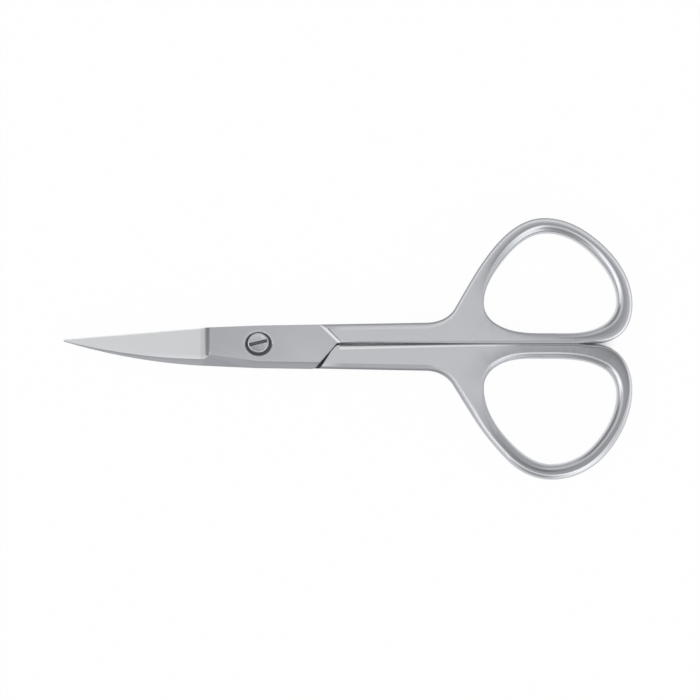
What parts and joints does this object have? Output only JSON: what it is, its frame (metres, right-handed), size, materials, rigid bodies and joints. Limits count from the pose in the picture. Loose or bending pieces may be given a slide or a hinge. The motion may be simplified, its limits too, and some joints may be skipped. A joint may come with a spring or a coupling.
{
  "type": "nail scissors",
  "caption": "Small straight steel scissors with pointed blades, a slotted pivot screw in a lap joint and two egg-shaped finger loops, for cutting nails.",
  "frame": {"origin": "under the middle of the closed scissors, on the surface that they lie on; the pivot is at x -14.1 mm, y +0.8 mm", "axes": "+X from the blade tips to the finger loops, +Y towards the upper finger loop, +Z out of the front face, along the pivot screw to its head"},
  "size_m": [0.09, 0.0414, 0.0036],
  "materials": {
    "front_steel": "satin blasted handle and joint plate, finer ground blade face, polished loop rims",
    "rear_steel": "satin blasted handle and joint plate, finer ground blade face, polished loop rims",
    "screw_steel": "turned, slightly brighter than the halves"
  },
  "bodies": {
    "rear_assembly": {"rear_half": "rear_steel", "pivot_screw": "screw_steel"},
    "front_assembly": {"front_half": "front_steel"}
  },
  "joints": [
    {"name": "pivot", "type": "hinge", "parent": "rear_assembly", "child": "front_assembly", "pos_m": [-0.0141, 0.0008, 0.0018], "axis": [0, 0, 1], "range_deg": [0, 130]}
  ]
}
